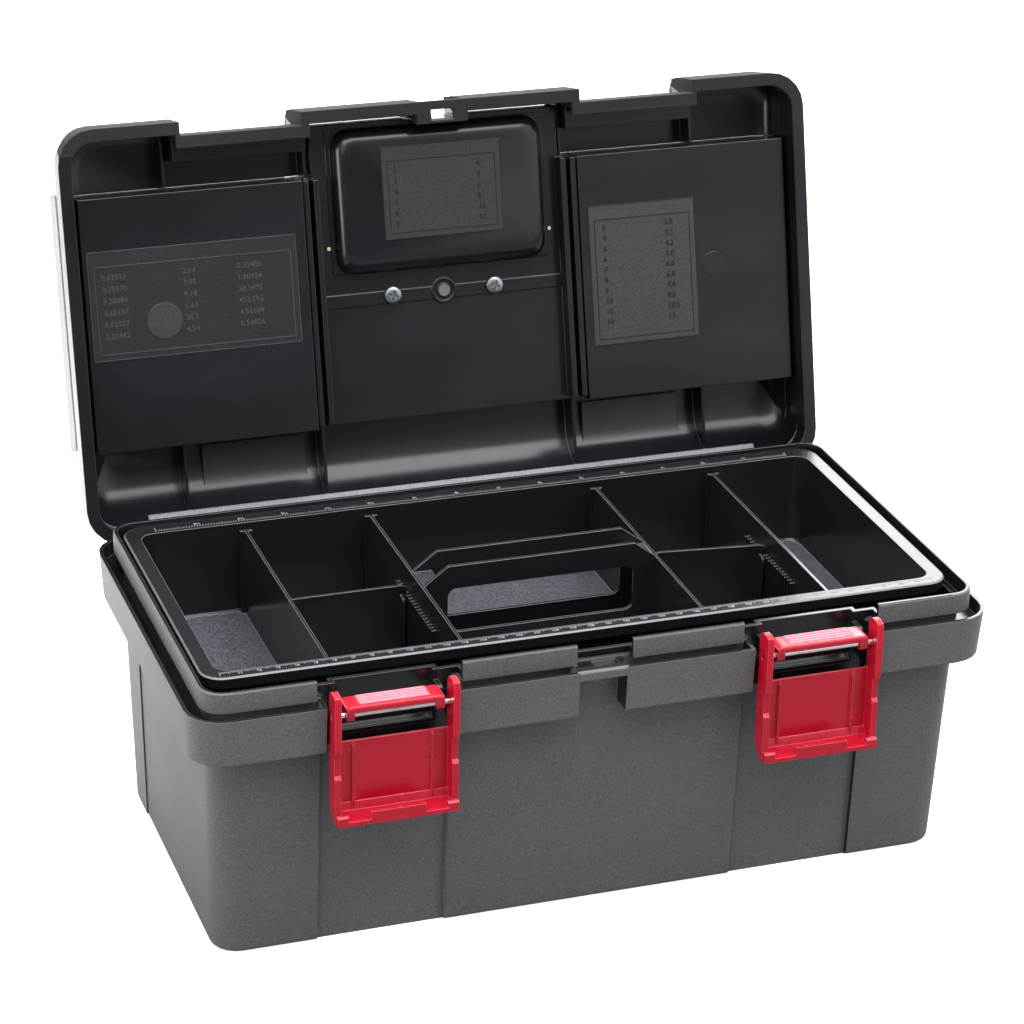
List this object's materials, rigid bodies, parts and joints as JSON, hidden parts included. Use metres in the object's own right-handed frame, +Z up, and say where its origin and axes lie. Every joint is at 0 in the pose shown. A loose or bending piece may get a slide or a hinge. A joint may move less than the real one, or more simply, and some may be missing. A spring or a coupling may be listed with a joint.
{
  "type": "toolbox with tray",
  "caption": "Plastic toolbox with a hinged lid held by draw latches, a lift-out compartment tray with a hand bar, covered organisers in the lid and a folding carry handle.",
  "frame": {"origin": "centre of the body's underside", "axes": "+X along the length to the right, +Y to the back where the lid is hinged, +Z up; the lid stands open on its stops"},
  "size_m": [0.446, 0.3441, 0.3685],
  "materials": {
    "textured_black": "fine moulded texture",
    "gloss_black": "smooth moulded",
    "red_plastic": "smooth moulded",
    "clear_plastic": "clear moulded",
    "steel": "drawn wire",
    "bright_steel": "bright plated",
    "zinc": "zinc plated"
  },
  "bodies": {
    "body": {"body_shell": "textured_black", "hinge_pin_left": "steel", "hinge_pin_right": "steel"},
    "lid": {"lid_shell": "gloss_black", "lid_centre": "gloss_black", "organiser_well_left": "gloss_black", "organiser_well_right": "gloss_black", "handle_bracket": "textured_black", "handle_pin_left": "steel", "handle_pin_right": "steel", "lid_screw_left": "zinc", "lid_screw_right": "zinc"},
    "tray": {"tray": "gloss_black"},
    "tray_divider_left": {"tray_divider_left": "gloss_black"},
    "tray_divider_right": {"tray_divider_right": "gloss_black"},
    "latch_left_link": {"latch_left_link": "red_plastic"},
    "latch_right_link": {"latch_right_link": "red_plastic"},
    "latch_left_lever": {"latch_left_lever": "red_plastic", "latch_left_rod": "bright_steel"},
    "latch_right_lever": {"latch_right_lever": "red_plastic", "latch_right_rod": "bright_steel"},
    "carry_handle": {"carry_handle": "textured_black"},
    "organiser_cover_left": {"organiser_cover_left": "clear_plastic"},
    "organiser_cover_right": {"organiser_cover_right": "clear_plastic"}
  },
  "joints": [
    {"name": "lid_hinge", "type": "hinge", "parent": "body", "child": "lid", "pos_m": [0, 0.1163, 0.1434], "axis": [-1, 0, 0], "range_deg": [-103.7, 0]},
    {"name": "tray_lift", "type": "slide", "parent": "body", "child": "tray", "axis": [0, 0, 1], "range_m": [0, 0.1]},
    {"name": "tray_divider_left_slide", "type": "slide", "parent": "tray", "child": "tray_divider_left", "axis": [0, 0, 1], "range_m": [0, 0.052]},
    {"name": "tray_divider_right_slide", "type": "slide", "parent": "tray", "child": "tray_divider_right", "axis": [0, 0, 1], "range_m": [0, 0.052]},
    {"name": "latch_left_link_pivot", "type": "hinge", "parent": "body", "child": "latch_left_link", "pos_m": [-0.1182, -0.1068, 0.146], "axis": [1, 0, 0], "range_deg": [0, 40]},
    {"name": "latch_left_lever_pivot", "type": "hinge", "parent": "latch_left_link", "child": "latch_left_lever", "pos_m": [-0.1182, -0.1195, 0.1455], "axis": [-1, 0, 0], "range_deg": [0, 220]},
    {"name": "latch_right_link_pivot", "type": "hinge", "parent": "body", "child": "latch_right_link", "pos_m": [0.1182, -0.1068, 0.146], "axis": [1, 0, 0], "range_deg": [0, 40]},
    {"name": "latch_right_lever_pivot", "type": "hinge", "parent": "latch_right_link", "child": "latch_right_lever", "pos_m": [0.1182, -0.1195, 0.1455], "axis": [-1, 0, 0], "range_deg": [0, 220]},
    {"name": "carry_handle_pivot", "type": "hinge", "parent": "lid", "child": "carry_handle", "pos_m": [0, 0.18478, 0.28244], "axis": [1, 0, 0], "range_deg": [0, 166.3]},
    {"name": "organiser_cover_left_hinge", "type": "hinge", "parent": "lid", "child": "organiser_cover_left", "pos_m": [-0.08, 0.19389, 0.2514], "axis": [0, -0.2368, -0.9715], "range_deg": [0, 110]},
    {"name": "organiser_cover_right_hinge", "type": "hinge", "parent": "lid", "child": "organiser_cover_right", "pos_m": [0.08, 0.19389, 0.2514], "axis": [0, 0.2368, 0.9715], "range_deg": [0, 110]}
  ],
  "couplings": [
    {"joint": "latch_left_link_pivot", "follows": "latch_left_lever_pivot", "ratio": 0.18182},
    {"joint": "latch_right_link_pivot", "follows": "latch_right_lever_pivot", "ratio": 0.18182}
  ]
}
